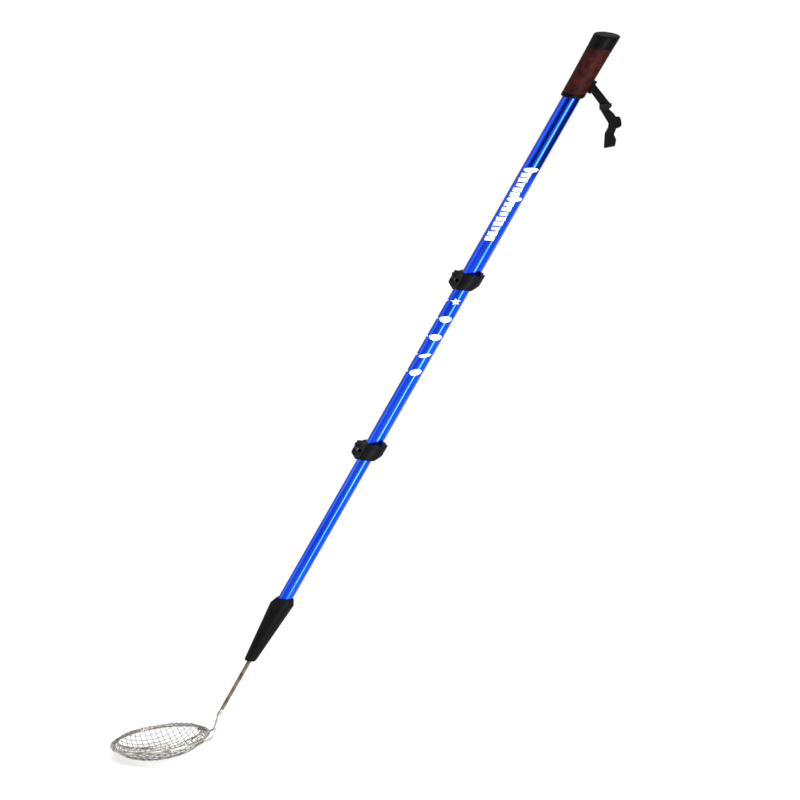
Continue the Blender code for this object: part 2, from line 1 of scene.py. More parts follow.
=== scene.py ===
"""Looks of a telescoping wire scoop: anodised tubes, moulded clamps and grip, webbing strap, woven basket.

Lengths here are in millimetres, in the frame of the pole (Z up its axis, -Y to the front) or of the basket
(centre of the rim, +X towards the pole, +Z out of the bowl), and they are turned into the row frame in metres
when a piece is made.
"""

import json
import math

import bmesh
import bpy
import numpy as np
from mathutils import Matrix, Vector

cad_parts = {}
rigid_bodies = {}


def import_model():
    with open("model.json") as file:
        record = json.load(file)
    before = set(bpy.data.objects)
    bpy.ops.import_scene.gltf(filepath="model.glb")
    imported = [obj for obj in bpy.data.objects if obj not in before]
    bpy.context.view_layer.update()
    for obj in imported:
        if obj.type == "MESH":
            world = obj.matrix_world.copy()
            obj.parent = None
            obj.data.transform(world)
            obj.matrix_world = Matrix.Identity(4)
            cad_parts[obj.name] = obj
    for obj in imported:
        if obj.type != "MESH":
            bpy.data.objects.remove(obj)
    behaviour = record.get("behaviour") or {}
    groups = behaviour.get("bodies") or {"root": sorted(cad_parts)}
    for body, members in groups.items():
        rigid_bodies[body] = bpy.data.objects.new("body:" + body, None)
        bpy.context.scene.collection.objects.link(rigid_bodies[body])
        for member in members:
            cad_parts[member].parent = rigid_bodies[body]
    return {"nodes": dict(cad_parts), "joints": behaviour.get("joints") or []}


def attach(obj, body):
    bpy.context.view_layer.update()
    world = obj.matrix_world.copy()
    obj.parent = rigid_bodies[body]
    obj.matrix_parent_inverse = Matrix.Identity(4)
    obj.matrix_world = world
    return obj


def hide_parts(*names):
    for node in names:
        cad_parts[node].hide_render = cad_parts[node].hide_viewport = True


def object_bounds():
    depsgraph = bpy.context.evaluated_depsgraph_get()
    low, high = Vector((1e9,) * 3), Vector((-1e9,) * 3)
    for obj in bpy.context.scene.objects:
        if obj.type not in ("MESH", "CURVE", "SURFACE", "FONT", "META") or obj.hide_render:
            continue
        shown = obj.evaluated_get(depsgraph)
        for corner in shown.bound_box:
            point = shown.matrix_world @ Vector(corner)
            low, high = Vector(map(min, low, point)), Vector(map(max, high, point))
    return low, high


for leftover in list(bpy.data.objects):
    bpy.data.objects.remove(leftover, do_unlink=True)

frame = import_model()
CAD_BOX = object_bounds()
MM = 0.001

# The pole's own frame, from the direction in which its sections slide
UP_THE_POLE = Vector(next(j for j in frame["joints"] if j["name"] == "middle_slide")["axis"]).normalized()
LEAN = math.atan2(UP_THE_POLE.x, UP_THE_POLE.z)
POLE = Matrix.Rotation(LEAN, 4, "Y")
RAKE = math.tan(math.radians(21.5))  # slope on which the moulded ends are cut

# Round sections
FINE = 96  # steps round a turned piece
UPPER_WALL = 1.25
INNER_WALL = 1.0
TOUCH = 0.3  # gap that the CAD keeps between touching pieces

# Grip
GRIP_HALF = 52.0  # half of its length
GRIP_RADII = (16.0, 16.6, 18.0)  # at the bottom, the middle and the top
GRIP_STEPS = 128  # steps round the grip
GRIP_LIP = 0.5  # rounding where sleeve and cap meet
SLEEVE_INSIDE = 14.5
CAP_EDGE_HEIGHT = 32.0
CAP_SWEEP = 9.5  # how far the cap's edge comes down on the right
CAP_CROWN = 1.0
COLLAR_TOP = 7.0 - GRIP_HALF

# Clamps, from the pole's axis and the clamp's middle
CLAMP_RADIUS = 16.5
EAR_REACH = 22.0
EAR_HALF_WIDTH = 8.5
EAR_INSET = 1.5
BARREL = Vector((-19.0, -14.5))
BOLT_HEIGHT = 3.5
BOLT_HOLE_RADIUS = 2.3
EYE_RADIUS = 3.3
CAM_RADIUS = 5.4
BLADE_THICKNESS = 2.8
INNER_TUBE_GAP = 0.25
CAM_CORNER = 8.0  # sloping cuts across the lower corners
THUMB_CORNER = 5.5
BEYOND = 60  # a cutter's reach past what it cuts
COLLAR_BEVEL = 0.55  # asked for, but short edges left by the cuts hold it at zero width
LEVER_BEVEL = 0.6  # asked for, but held to a narrower one in the same way

# Ferrule and rod
FERRULE_SHOULDER = 16.0
ROD_RADIUS = 3.1
ROD_END_RADIUS = 2.6

# The basket's frame
BASKET_TILT = math.radians(-8.2)
RIM_WIRE = 2.15
TOP_RING_WIRE = 1.0
TOP_RING_RISE = 5.0
FORK_OUT = 16.3
FORK_RISE = 22.4
ARM_WIRE = 1.6
MESH_WIRE = 0.45
MESH_PITCH = 8.3
MESH_TURN = math.radians(-76)  # direction of the first set of mesh wires, from the basket's +X
BOWL_DEPTH = 21.5

# Studio, in metres
CAMERA_AIM = Vector((-0.2721, 0, -0.4937))
CAMERA_ELEVATION = math.radians(13.8)
CAMERA_DISTANCE = 25.6
CARD_DISTANCE = 0.45
STRIP_ANGLE = 24  # degrees from the front towards the right


def across(node):
    """Points of a CAD node in the pole's frame, in millimetres."""
    points = np.array([v.co for v in frame["nodes"][node].data.vertices], float)
    return points @ np.array(POLE.to_3x3()) / MM


def reach(node):
    """Largest distance of a node from the pole's axis."""
    return float(np.hypot(*across(node)[:, :2].T).max())


def span(node, raked=False):
    """Lowest and highest station of a node on the pole, with the rake taken off if it has one."""
    points = across(node)
    stations = points[:, 2] - (RAKE * points[:, 0] if raked else 0)
    return float(stations.min()), float(stations.max())


def rim_centre():
    """Centre and radius of the rim ring, in millimetres in the row frame."""
    points = np.array([v.co for v in frame["nodes"]["rim_ring"].data.vertices], float) / MM
    centre = (points.min(0) + points.max(0)) / 2
    return Vector(centre), (points[:, 1].max() - points[:, 1].min()) / 2 - RIM_WIRE


RIM_CENTRE, RIM_RADIUS = rim_centre()
TOP_RING_RADIUS = RIM_RADIUS - 9.4
BASKET = Matrix.Translation(RIM_CENTRE * MM) @ Matrix.Rotation(BASKET_TILT, 4, "Y")


# -------------------------------------------------------------------------------- shapes


def fillet(points, radii, closed=False, count=5):
    """An outline with its corners rounded: each corner has its own radius, or None to stay sharp."""
    made = []
    last = len(points) - 1
    for i, (point, radius) in enumerate(zip(points, radii)):
        if not radius or (not closed and i in (0, last)):
            made.append(tuple(point))
            continue
        here = Vector(point)
        before = Vector(points[i - 1]) - here
        after = Vector(points[(i + 1) % len(points)]) - here
        start = here + before.normalized() * min(radius, 0.45 * before.length)
        end = here + after.normalized() * min(radius, 0.45 * after.length)
        for step in range(count + 1):
            t = step / count
            made.append(tuple(start * (1 - t) ** 2 + here * 2 * t * (1 - t) + end * t**2))
    return made


def mesh_from(work, name):
    """A mesh from a bmesh, with doubled points merged and the faces turned outwards."""
    bmesh.ops.remove_doubles(work, verts=work.verts, dist=1e-4)
    bmesh.ops.recalc_face_normals(work, faces=work.faces)
    mesh = bpy.data.meshes.new(name)
    work.to_mesh(mesh)
    work.free()
    return mesh


def turned(outline, closed=True, steps=FINE):
    """A turned mesh from (radius, height) points."""
    work = bmesh.new()
    verts = [work.verts.new((r, 0, z)) for r, z in outline]
    pairs = zip(verts, [*verts[1:], verts[0]]) if closed else zip(verts, verts[1:])
    edges = [work.edges.new(pair) for pair in pairs]
    bmesh.ops.spin(
        work,
        geom=[*verts, *edges],
        cent=(0, 0, 0),
        axis=(0, 0, 1),
        angle=2 * math.pi,
        steps=steps,
        use_merge=True,
    )
    return mesh_from(work, "turned")


def raked(mesh):
    """Slopes the ends of a piece, as on the moulded parts."""
    mesh.transform(Matrix(((1, 0, 0, 0), (0, 1, 0, 0), (RAKE, 0, 1, 0), (0, 0, 0, 1))))
    return mesh


def moved(mesh, x=0.0, y=0.0, z=0.0):
    """The mesh in another place."""
    mesh.transform(Matrix.Translation((x, y, z)))
    return mesh


def turned_to(mesh, angle, axis):
    """The mesh turned about a main axis."""
    mesh.transform(Matrix.Rotation(math.radians(angle), 4, axis))
    return mesh


def box_mesh(low, high):
    """A box between two corners, as a cutter."""
    low, high = Vector(low), Vector(high)
    work = bmesh.new()
    bmesh.ops.create_cube(work, size=1)
    bmesh.ops.scale(work, vec=high - low, verts=work.verts)
    bmesh.ops.translate(work, vec=(low + high) / 2, verts=work.verts)
    return mesh_from(work, "box")


def prism(outline, half_thickness):
    """A flat outline in XY, extruded both ways along Z."""
    work = bmesh.new()
    low = [work.verts.new((x, y, -half_thickness)) for x, y in outline]
    high = [work.verts.new((x, y, half_thickness)) for x, y in outline]
    work.faces.new(low[::-1])
    work.faces.new(high)
    for i in range(len(outline)):
        j = (i + 1) % len(outline)
        work.faces.new((low[i], low[j], high[j], high[i]))
    return mesh_from(work, "prism")


def arc(radius, start, end, count, centre=(0, 0)):
    """Points along an arc, angles in degrees."""
    angles = [math.radians(start + (end - start) * i / (count - 1)) for i in range(count)]
    return [(centre[0] + radius * math.cos(a), centre[1] + radius * math.sin(a)) for a in angles]


def smooth_path(points, per_span):
    """Points along a Catmull-Rom curve through the given ones."""
    points = [Vector(p) for p in points]
    ends = [2 * points[0] - points[1], *points, 2 * points[-1] - points[-2]]
    path = []
    for a, b, c, d in zip(ends, ends[1:], ends[2:], ends[3:]):
        for step in range(per_span):
            t = step / per_span
            square = (2 * a - 5 * b + 4 * c - d) * t**2
            cube = (3 * b - a - 3 * c + d) * t**3
            path.append(0.5 * (2 * b + (c - a) * t + square + cube))
    return [*path, points[-1]]


def wires(paths, radius, sides):
    """Round wires along lists of points, as one mesh with rounded ends."""
    work = bmesh.new()
    for path in paths:
        points = [Vector(p) for p in path]
        last = len(points) - 1
        side = None
        rings = []
        for i, point in enumerate(points):
            along = (points[min(i + 1, last)] - points[max(i - 1, 0)]).normalized()
            if side is None:
                side = along.orthogonal().normalized()
            side = (side - along * side.dot(along)).normalized()
            other = along.cross(side)
            ring = []
            for step in range(sides):
                turn = 2 * math.pi * step / sides
                ring.append(work.verts.new(point + radius * (math.cos(turn) * side + math.sin(turn) * other)))
            rings.append((ring, point, along))
        for (low, _, _), (high, _, _) in zip(rings, rings[1:]):
            for step in range(sides):
                following = (step + 1) % sides
                work.faces.new((low[step], low[following], high[following], high[step]))
        for (ring, point, along), way in ((rings[0], -1), (rings[-1], 1)):
            domed = []
            for vert in ring:
                domed.append(work.verts.new(point + (vert.co - point) * 0.6 + along * way * radius * 0.7))
            for step in range(sides):
                following = (step + 1) % sides
                work.faces.new((ring[step], ring[following], domed[following], domed[step]))
            tip = work.verts.new(point + along * way * radius)
            for step in range(sides):
                work.faces.new((domed[step], domed[(step + 1) % sides], tip))
    return mesh_from(work, "wires")


def scratch(mesh):
    """A working object that is not part of the model."""
    made = bpy.data.objects.new("scratch", mesh)
    bpy.context.scene.collection.objects.link(made)
    return made


def evaluated_mesh(obj):
    """The mesh of a working object with its modifiers applied. The object is removed."""
    graph = bpy.context.evaluated_depsgraph_get()
    mesh = bpy.data.meshes.new_from_object(obj.evaluated_get(graph))
    bpy.data.objects.remove(obj)
    return mesh


def carved(mesh, cuts, bevel, joins=()):
    """A mesh joined with some shapes and cut by others, then bevelled. Blender narrows the bevel to what the
    shortest edge allows, which can be nothing."""
    body = scratch(mesh)
    helpers = []
    for shape, operation in [*((s, "UNION") for s in joins), *((s, "DIFFERENCE") for s in cuts)]:
        helper = scratch(shape)
        helpers.append(helper)
        boolean = body.modifiers.new("shape", "BOOLEAN")
        boolean.operation = operation
        boolean.object = helper
    rounded = body.modifiers.new("rounded", "BEVEL")
    rounded.width = bevel
    rounded.segments = 3
    rounded.limit_method = "ANGLE"
    rounded.angle_limit = math.radians(35)
    rounded.harden_normals = True
    made = evaluated_mesh(body)
    for helper in helpers:
        bpy.data.objects.remove(helper)
    return made


def piece(name, mesh, look, body, place=POLE, replaces=(), angle=32):
    """Puts a mesh, in millimetres in its own frame, into the scene as a piece that rides on a body."""
    mesh.transform(place @ Matrix.Scale(MM, 4))
    mesh.materials.clear()
    mesh.materials.append(look)
    mesh.shade_smooth()
    mesh.set_sharp_from_angle(angle=math.radians(angle))
    made = bpy.data.objects.new(name, mesh)
    bpy.context.scene.collection.objects.link(made)
    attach(made, body)
    if replaces:
        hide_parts(*replaces)
    return made


# -------------------------------------------------------------------------------- materials


class Look:
    """A material under construction: a Principled shader and short ways to feed it."""

    def __init__(self, name, roughness=0.5, metallic=0.0, colour=(0.5, 0.5, 0.5)):
        self.material = bpy.data.materials.new(name)
        self.material.use_nodes = True
        self.tree = self.material.node_tree
        self.shader = self.tree.nodes["Principled BSDF"]
        self.set("Roughness", roughness)
        self.set("Metallic", metallic)
        self.set("Base Color", (*colour, 1))
        self.height = None

    def set(self, socket, value):
        self.shader.inputs[socket].default_value = value

    def node(self, kind, **settings):
        made = self.tree.nodes.new(kind)
        for key, value in settings.items():
            setattr(made, key, value)
        return made

    def link(self, source, target):
        self.tree.links.new(source, target)

    def place(self, scale=(1, 1, 1), turn=(0, 0, 0)):
        """Object coordinates, turned and scaled."""
        where = self.node("ShaderNodeTexCoord").outputs["Object"]
        mapping = self.node("ShaderNodeMapping", vector_type="TEXTURE")
        mapping.inputs["Rotation"].default_value = turn
        mapping.inputs["Scale"].default_value = [1 / s for s in scale]
        self.link(where, mapping.inputs["Vector"])
        return mapping.outputs["Vector"]

    def noise(self, where, scale=1.0, detail=4.0, rough=0.5, distortion=0.0):
        made = self.node("ShaderNodeTexNoise")
        made.inputs["Scale"].default_value = scale
        made.inputs["Detail"].default_value = detail
        made.inputs["Roughness"].default_value = rough
        made.inputs["Distortion"].default_value = distortion
        self.link(where, made.inputs["Vector"])
        return made.outputs["Fac"]

    def cells(self, where, scale):
        made = self.node("ShaderNodeTexVoronoi")
        made.inputs["Scale"].default_value = scale
        self.link(where, made.inputs["Vector"])
        return made.outputs["Distance"]

    def wave(self, where, direction, scale, distortion):
        made = self.node("ShaderNodeTexWave", wave_type="BANDS", bands_direction=direction)
        made.inputs["Scale"].default_value = scale
        made.inputs["Distortion"].default_value = distortion
        self.link(where, made.inputs["Vector"])
        return made.outputs["Fac"]

    def math(self, operation, first, second):
        made = self.node("ShaderNodeMath", operation=operation)
        for socket, value in zip(made.inputs, (first, second)):
            if isinstance(value, (int, float)):
                socket.default_value = value
            else:
                self.link(value, socket)
        return made.outputs[0]

    def spread(self, value, low, high, start=0.0, end=1.0):
        """Takes a range of a value to another range."""
        made = self.node("ShaderNodeMapRange")
        for name, number in (("From Min", start), ("From Max", end), ("To Min", low), ("To Max", high)):
            made.inputs[name].default_value = number
        self.link(value, made.inputs["Value"])
        return made.outputs["Result"]

    def ramp(self, value, stops):
        """Colours along a value, from (place, colour) stops."""
        made = self.node("ShaderNodeValToRGB")
        while len(made.color_ramp.elements) < len(stops):
            made.color_ramp.elements.new(0.5)
        for element, (place, colour) in zip(made.color_ramp.elements, stops):
            element.position = place
            element.color = (*colour, 1)
        self.link(value, made.inputs["Fac"])
        return made.outputs["Color"]

    def colour(self, source):
        self.link(source, self.shader.inputs["Base Color"])

    def roughness(self, source):
        self.link(source, self.shader.inputs["Roughness"])

    def bump(self, height, depth, strength=1.0):
        """Adds a bump of that depth in metres. Bumps stack."""
        made = self.node("ShaderNodeBump")
        made.inputs["Strength"].default_value = strength
        made.inputs["Distance"].default_value = depth
        self.link(height, made.inputs["Height"])
        if self.height is not None:
            self.link(self.height, made.inputs["Normal"])
        self.height = made.outputs["Normal"]
        self.link(self.height, self.shader.inputs["Normal"])


ALONG_POLE = (0, LEAN, 0)


def anodised_blue():
    """Drawn aluminium tube, dyed blue: fine lines along the tube, faint clouding and small scuffs."""
    look = Look("anodised_blue", roughness=0.16, metallic=1.0)
    lines = look.noise(look.place((2600, 2600, 18), ALONG_POLE), detail=3)
    clouds = look.noise(look.place((60, 60, 12), ALONG_POLE), detail=4)
    scuffs = look.noise(look.place((900, 900, 60), ALONG_POLE), detail=6, rough=0.7)
    tone = look.math("ADD", look.math("MULTIPLY", lines, 0.35), look.math("MULTIPLY", clouds, 0.65))
    stops = [(0.3, (0.008, 0.045, 0.66)), (0.55, (0.016, 0.08, 0.88)), (0.75, (0.03, 0.13, 1.0))]
    look.colour(look.ramp(tone, stops))
    wear = look.spread(scuffs, 0.0, 0.1, 0.56, 0.72)
    look.roughness(look.math("ADD", look.spread(lines, 0.11, 0.19, 0.3, 0.7), wear))
    look.bump(lines, 0.000012)
    look.bump(scuffs, 0.00001)
    return look.material


def black_moulding(name, grain, depth):
    """Injection-moulded black plastic with a fine spark-eroded grain and slightly rubbed patches."""
    shade = 0.0022
    look = Look(name, roughness=0.42)
    look.set("Specular IOR Level", 0.05)
    where = look.place()
    fine = look.noise(where, grain, detail=2, rough=0.6)
    patches = look.noise(where, 55, detail=5, rough=0.6)
    low = (shade * 0.75, shade * 0.77, shade * 0.85)
    high = (shade * 1.7, shade * 1.7, shade * 1.75)
    look.colour(look.ramp(patches, [(0.35, low), (0.7, high)]))
    look.roughness(look.spread(patches, 0.34, 0.56, 0.3, 0.7))
    look.bump(fine, depth)
    look.bump(patches, 0.00015, 0.3)
    return look.material


def brown_grip():
    """Dark reddish-brown grip sleeve: a pebbled grain, creases and a mottled tone."""
    look = Look("brown_grip", roughness=0.6)
    look.set("Specular IOR Level", 0.08)
    where = look.place()
    pebbles = look.cells(where, 620)
    creases = look.noise(where, 240, detail=6, rough=0.65, distortion=0.6)
    mottle = look.noise(where, 115, detail=5, rough=0.62)
    broad = look.noise(where, 24, detail=3)
    tone = look.math("ADD", look.math("MULTIPLY", mottle, 0.6), look.math("MULTIPLY", broad, 0.4))
    stops = [(0.36, (0.006, 0.0010, 0.0008)), (0.5, (0.020, 0.0026, 0.0018)), (0.64, (0.050, 0.0062, 0.0040))]
    look.colour(look.ramp(tone, stops))
    look.roughness(look.spread(mottle, 0.48, 0.72, 0.3, 0.7))
    look.bump(pebbles, 0.00022, 0.8)
    look.bump(creases, 0.00025, 0.6)
    return look.material


def steel(name, dark, light, low=0.12, high=0.3, scale=900):
    """Bright steel wire with a faint drawn texture and slight tarnish."""
    look = Look(name, roughness=0.2, metallic=1.0)
    where = look.place()
    fine = look.noise(where, scale, detail=4)
    tarnish = look.noise(where, 70, detail=5, rough=0.6)
    look.colour(look.ramp(tarnish, [(0.38, dark), (0.62, light)]))
    look.roughness(look.spread(fine, low, high, 0.35, 0.65))
    look.bump(fine, 0.00002)
    return look.material


def webbing():
    """Black nylon webbing: crossed coarse yarns, matt, with a little lint."""
    look = Look("black_webbing", roughness=0.82)
    diagonal = look.place((1, 1, 1), (0, LEAN + math.radians(10), 0))
    warp = look.wave(diagonal, "X", 260, 0.6)
    weft = look.wave(diagonal, "Z", 420, 0.8)
    lint = look.noise(look.place(), 900, detail=5, rough=0.7)
    yarns = look.math("MAXIMUM", warp, weft)
    look.colour(look.ramp(yarns, [(0.2, (0.0012, 0.0012, 0.0014)), (0.9, (0.005, 0.005, 0.0055))]))
    look.roughness(look.spread(lint, 0.72, 0.92, 0.3, 0.7))
    look.set("Specular IOR Level", 0.05)
    look.set("Sheen Weight", 0.01)
    look.set("Sheen Roughness", 0.5)
    look.bump(yarns, 0.00022)
    look.bump(lint, 0.00008, 0.6)
    return look.material


def white_ink():
    """Screen-printed white ink, slightly worn."""
    look = Look("white_ink", roughness=0.45)
    wear = look.noise(look.place(), 700, detail=6, rough=0.7)
    look.colour(look.ramp(wear, [(0.28, (0.55, 0.62, 0.78)), (0.4, (0.86, 0.88, 0.9))]))
    look.roughness(look.spread(wear, 0.35, 0.55, 0.3, 0.7))
    look.bump(wear, 0.00001)
    return look.material


def nylon():
    """Natural grey nylon for the guides inside the tubes."""
    look = Look("grey_nylon", roughness=0.5)
    cloud = look.noise(look.place(), 260, detail=4)
    look.colour(look.ramp(cloud, [(0.3, (0.12, 0.12, 0.125)), (0.7, (0.22, 0.22, 0.22))]))
    look.roughness(look.spread(cloud, 0.4, 0.6, 0.3, 0.7))
    look.bump(cloud, 0.00005)
    return look.material


def pale_floor():
    """A plain pale studio floor."""
    look = Look("pale_floor", roughness=0.7, colour=(0.9, 0.9, 0.9))
    cloud = look.noise(look.place(), 3, detail=2)
    look.colour(look.ramp(cloud, [(0.3, (0.89, 0.89, 0.89)), (0.7, (0.91, 0.91, 0.91))]))
    return look.material


def grey_card():
    """Matt grey studio card."""
    look = Look("grey_card", roughness=0.9)
    cloud = look.noise(look.place(), 6, detail=2)
    look.colour(look.ramp(cloud, [(0.3, (0.07, 0.07, 0.07)), (0.7, (0.1, 0.1, 0.1))]))
    return look.material


BLUE = anodised_blue()
BLACK = black_moulding("black_moulding", 1500, 0.00006)
BLACK_GRIP = black_moulding("black_grip_moulding", 900, 0.00008)
BROWN = brown_grip()
CHROME = steel("bright_wire", (0.26, 0.235, 0.205), (0.6, 0.57, 0.53))
MESH_STEEL = steel("mesh_wire", (0.10, 0.09, 0.08), (0.3, 0.28, 0.26))
ROD_STEEL = steel("rod_steel", (0.08, 0.058, 0.04), (0.22, 0.175, 0.13), 0.16, 0.34, 500)
ZINC = steel("blackened_steel", (0.018, 0.018, 0.020), (0.05, 0.05, 0.052), 0.3, 0.5, 1200)
WEB = webbing()
INK = white_ink()
NYLON = nylon()


# -------------------------------------------------------------------------------- pole


def tube(node, body, wall):
    """One pole section with softly broken edges."""
    low, high = span(node)
    outer = reach(node)
    outline = [(outer, high), (outer, low), (outer - wall, low), (outer - wall, high)]
    mesh = turned(fillet(outline, [0.3] * 4, closed=True, count=3))
    return piece(f"{node}_anodised", mesh, BLUE, body, replaces=[node])


def print_on(name, body, radius, station, outlines, turn=0.0):
    """Flat white shapes printed on the front of a tube. Outlines are level X and Z, in millimetres, seen from
    the front, and every shape holds its whole outline in view of its own middle."""
    work = bmesh.new()
    rings = 7
    ink = 0.05
    for outline in outlines:
        centre = Vector(np.array(outline, float).mean(0))
        layers = []
        for lift in (0.012, ink):
            grid = []
            for ring in range(rings + 1):
                row = []
                for x, z in outline:
                    flat = centre.lerp(Vector((x, z)), ring / rings)
                    side = flat.x * math.cos(LEAN) - flat.y * math.sin(LEAN)
                    along = flat.x * math.sin(LEAN) + flat.y * math.cos(LEAN)
                    angle = math.asin(max(-0.985, min(0.985, side / radius))) + turn
                    height = radius + lift
                    row.append(
                        work.verts.new((height * math.sin(angle), -height * math.cos(angle), station + along))
                    )
                grid.append(row)
            layers.append(grid)
        count = len(outline)
        for grid in layers:
            for inner, outer in zip(grid, grid[1:]):
                for i in range(count):
                    j = (i + 1) % count
                    work.faces.new((inner[i], inner[j], outer[j], outer[i]))
        for i in range(count):
            j = (i + 1) % count
            work.faces.new((layers[0][-1][i], layers[0][-1][j], layers[1][-1][j], layers[1][-1][i]))
    bmesh.ops.remove_doubles(work, verts=work.verts, dist=2e-3)
    bmesh.ops.dissolve_degenerate(work, edges=work.edges, dist=1e-4)
    return piece(name, mesh_from(work, name), INK, body)


def subdivided(outline, count):
    """A closed outline with each side cut into equal steps."""
    return [
        tuple(Vector(a).lerp(Vector(b), t / count))
        for a, b in zip(outline, [*outline[1:], outline[0]])
        for t in range(count)
    ]


def oval(width, height, count=40):
    """An oval outline."""
    angles = [2 * math.pi * i / count for i in range(count)]
    return [(width / 2 * math.cos(a), height / 2 * math.sin(a)) for a in angles]


def star(width, height):
    """A plain five-pointed star."""
    outline = []
    for i in range(10):
        share = 0.42 if i % 2 else 1.0
        angle = math.pi / 2 + math.pi * i / 5
        outline.append((width / 2 * share * math.cos(angle), height / 2 * share * math.sin(angle)))
    return subdivided(outline, 4)


def slant_bar(width, height, slope):
    """A level bar whose ends are cut on a slope."""
    right, top = width / 2, height / 2
    corners = [(-right, -top), (right, -top), (right, top), (-right, top)]
    return subdivided([(x + slope * z, z) for x, z in corners], 6)


def prints():
    """Generic printed shapes where the tubes carry markings: bars above, a star, ovals and ticks below."""
    upper = reach("upper_tube")
    bars = 15
    top, bottom = -173.0, -288.0
    bar_shift = 3.4
    for i in range(bars):
        station = top + (bottom - top) * i / (bars - 1)
        if i in (0, 6):
            outline = oval(21.0, 7.0)
        else:
            width, height = (13.5, 5.8) if i % 3 else (11.0, 4.4)
            outline = [(x - bar_shift, z) for x, z in slant_bar(width, height, 0.4)]
        print_on(f"upper_print_{i + 1}", "handle", upper, station, [outline])
    middle = reach("middle_tube")
    shapes = (
        ("star", -395.5, star(15.5, 10.5)),
        ("disc", -425.4, oval(17.5, 9.0)),
        ("disc_low", -455.7, oval(17.5, 9.0)),
        ("oval", -486.7, [(x, z + 0.16 * x) for x, z in oval(17.5, 5.0)]),
        ("oval_low", -514.9, [(x, z + 0.16 * x) for x, z in oval(17.0, 9.0)]),
    )
    for name, station, outline in shapes:
        print_on(f"middle_print_{name}", "middle", middle, station, [outline])
        tick = [(x * 0.22, z * 0.3) for x, z in oval(17.5, 9.0, count=16)]
        print_on(f"middle_tick_{name}", "middle", middle, station - 5, [tick], turn=math.radians(-72))


# -------------------------------------------------------------------------------- grip


def cap_edge(angle):
    """Lower edge of the cap round the grip: level, and swept down on the right."""
    right = max(0.0, math.cos(angle))
    return CAP_EDGE_HEIGHT - CAP_SWEEP * right**5


def grip_skin(height):
    """Outer radius of the grip, on a curve through its radius at the bottom, the middle and the top."""
    share = (height + GRIP_HALF) / (2 * GRIP_HALF)
    low, middle, high = GRIP_RADII
    return (
        low * (1 - share) * (1 - 2 * share)
        + 4 * middle * share * (1 - share)
        + high * share * (2 * share - 1)
    )


def lipped(height, to_edge):
    """Radius of the grip at a height, rounded off near an edge that is this far away."""
    inside = max(0.0, min(to_edge, GRIP_LIP))
    return grip_skin(height) - GRIP_LIP + math.sqrt(GRIP_LIP**2 - (GRIP_LIP - inside) ** 2)


def lofted(rings, capped=False):
    """A mesh through rings of (radius, height) pairs, each going once round the pole. It is closed into a
    tube wall, or capped at both ends."""
    work = bmesh.new()
    made = []
    for ring in rings:
        row = []
        for step, (radius, height) in enumerate(ring):
            angle = 2 * math.pi * step / len(ring)
            row.append(work.verts.new((radius * math.cos(angle), radius * math.sin(angle), height)))
        made.append(row)
    pairs = zip(made, made[1:]) if capped else zip(made, [*made[1:], made[0]])
    for above, below in pairs:
        for step in range(len(above)):
            following = (step + 1) % len(above)
            work.faces.new((below[step], below[following], above[following], above[step]))
    if capped:
        work.faces.new(made[0])
        work.faces.new(made[-1][::-1])
    return mesh_from(work, "lofted")


def grip_sleeve(edges):
    """The leather sleeve, between the collar and the cap's edge."""
    rows = 44
    bottom = COLLAR_TOP + TOUCH
    rings = []
    for row in range(rows + 1):
        ring = []
        for edge in edges:
            top = edge - TOUCH
            height = bottom + (top - bottom) * row / rows
            ring.append((lipped(height, min(height - bottom, top - height)), height))
        rings.append(ring)
    rings.append([(SLEEVE_INSIDE, edge - TOUCH) for edge in edges])
    rings.append([(SLEEVE_INSIDE, bottom)] * len(edges))
    piece("grip_leather", raked(lofted(rings)), BROWN, "handle", replaces=["grip_sleeve"])


def grip_cap(edges):
    """The end cap, with a low crown and a swept lower edge."""
    shoulder = GRIP_HALF - 6
    profile = [
        (9, GRIP_HALF + CAP_CROWN),
        (grip_skin(GRIP_HALF) - 2.5, GRIP_HALF + 0.6 * CAP_CROWN),
        (grip_skin(GRIP_HALF) - 0.3, GRIP_HALF - 0.5),
        (grip_skin(shoulder), shoulder),
    ]
    rings = [[point] * len(edges) for point in fillet(profile, [None, 2.5, 1.2, None], count=6)]
    rows = 14
    for row in range(1, rows + 1):
        ring = []
        for edge in edges:
            height = shoulder + (edge - shoulder) * row / rows
            ring.append((lipped(height, height - edge), height))
        rings.append(ring)
    rings.append([(SLEEVE_INSIDE, edge) for edge in edges])
    rings.append([(reach("upper_tube"), CAP_EDGE_HEIGHT + TOUCH)] * len(edges))
    mesh = raked(lofted(rings, capped=True))
    piece("grip_cap_moulding", mesh, BLACK_GRIP, "handle", replaces=["grip_cap"])


def grip_collar():
    """The collar at the grip's lower end."""
    bore = reach("upper_tube") + TOUCH
    outline = [
        (grip_skin(COLLAR_TOP), COLLAR_TOP),
        (16.2, -GRIP_HALF + 2),
        (15.0, -GRIP_HALF),
        (bore, -GRIP_HALF),
        (bore, COLLAR_TOP),
    ]
    mesh = raked(turned(fillet(outline, [0.7, 1.2, 0.8, 0.3, None], closed=True)))
    piece("grip_collar_moulding", mesh, BLACK_GRIP, "handle", replaces=["grip_collar"])


def grip():
    """Sleeve, cap and collar."""
    edges = [cap_edge(2 * math.pi * step / GRIP_STEPS) for step in range(GRIP_STEPS)]
    grip_sleeve(edges)
    grip_cap(edges)
    grip_collar()


# -------------------------------------------------------------------------------- clamps


def corner_wedges(half):
    """Sloping cuts across the lower corners of a clamp with this half height."""
    wedges = []
    for start, size in ((-EAR_REACH, CAM_CORNER), (CLAMP_RADIUS, THUMB_CORNER)):
        foot = -half - size
        way = math.copysign(size, start)
        outline = [(start + way, foot + 3 * size), (start - 2 * way, foot), (start + way, foot)]
        wedges.append(raked(turned_to(prism(outline, BEYOND), 90, "X")))
    return wedges


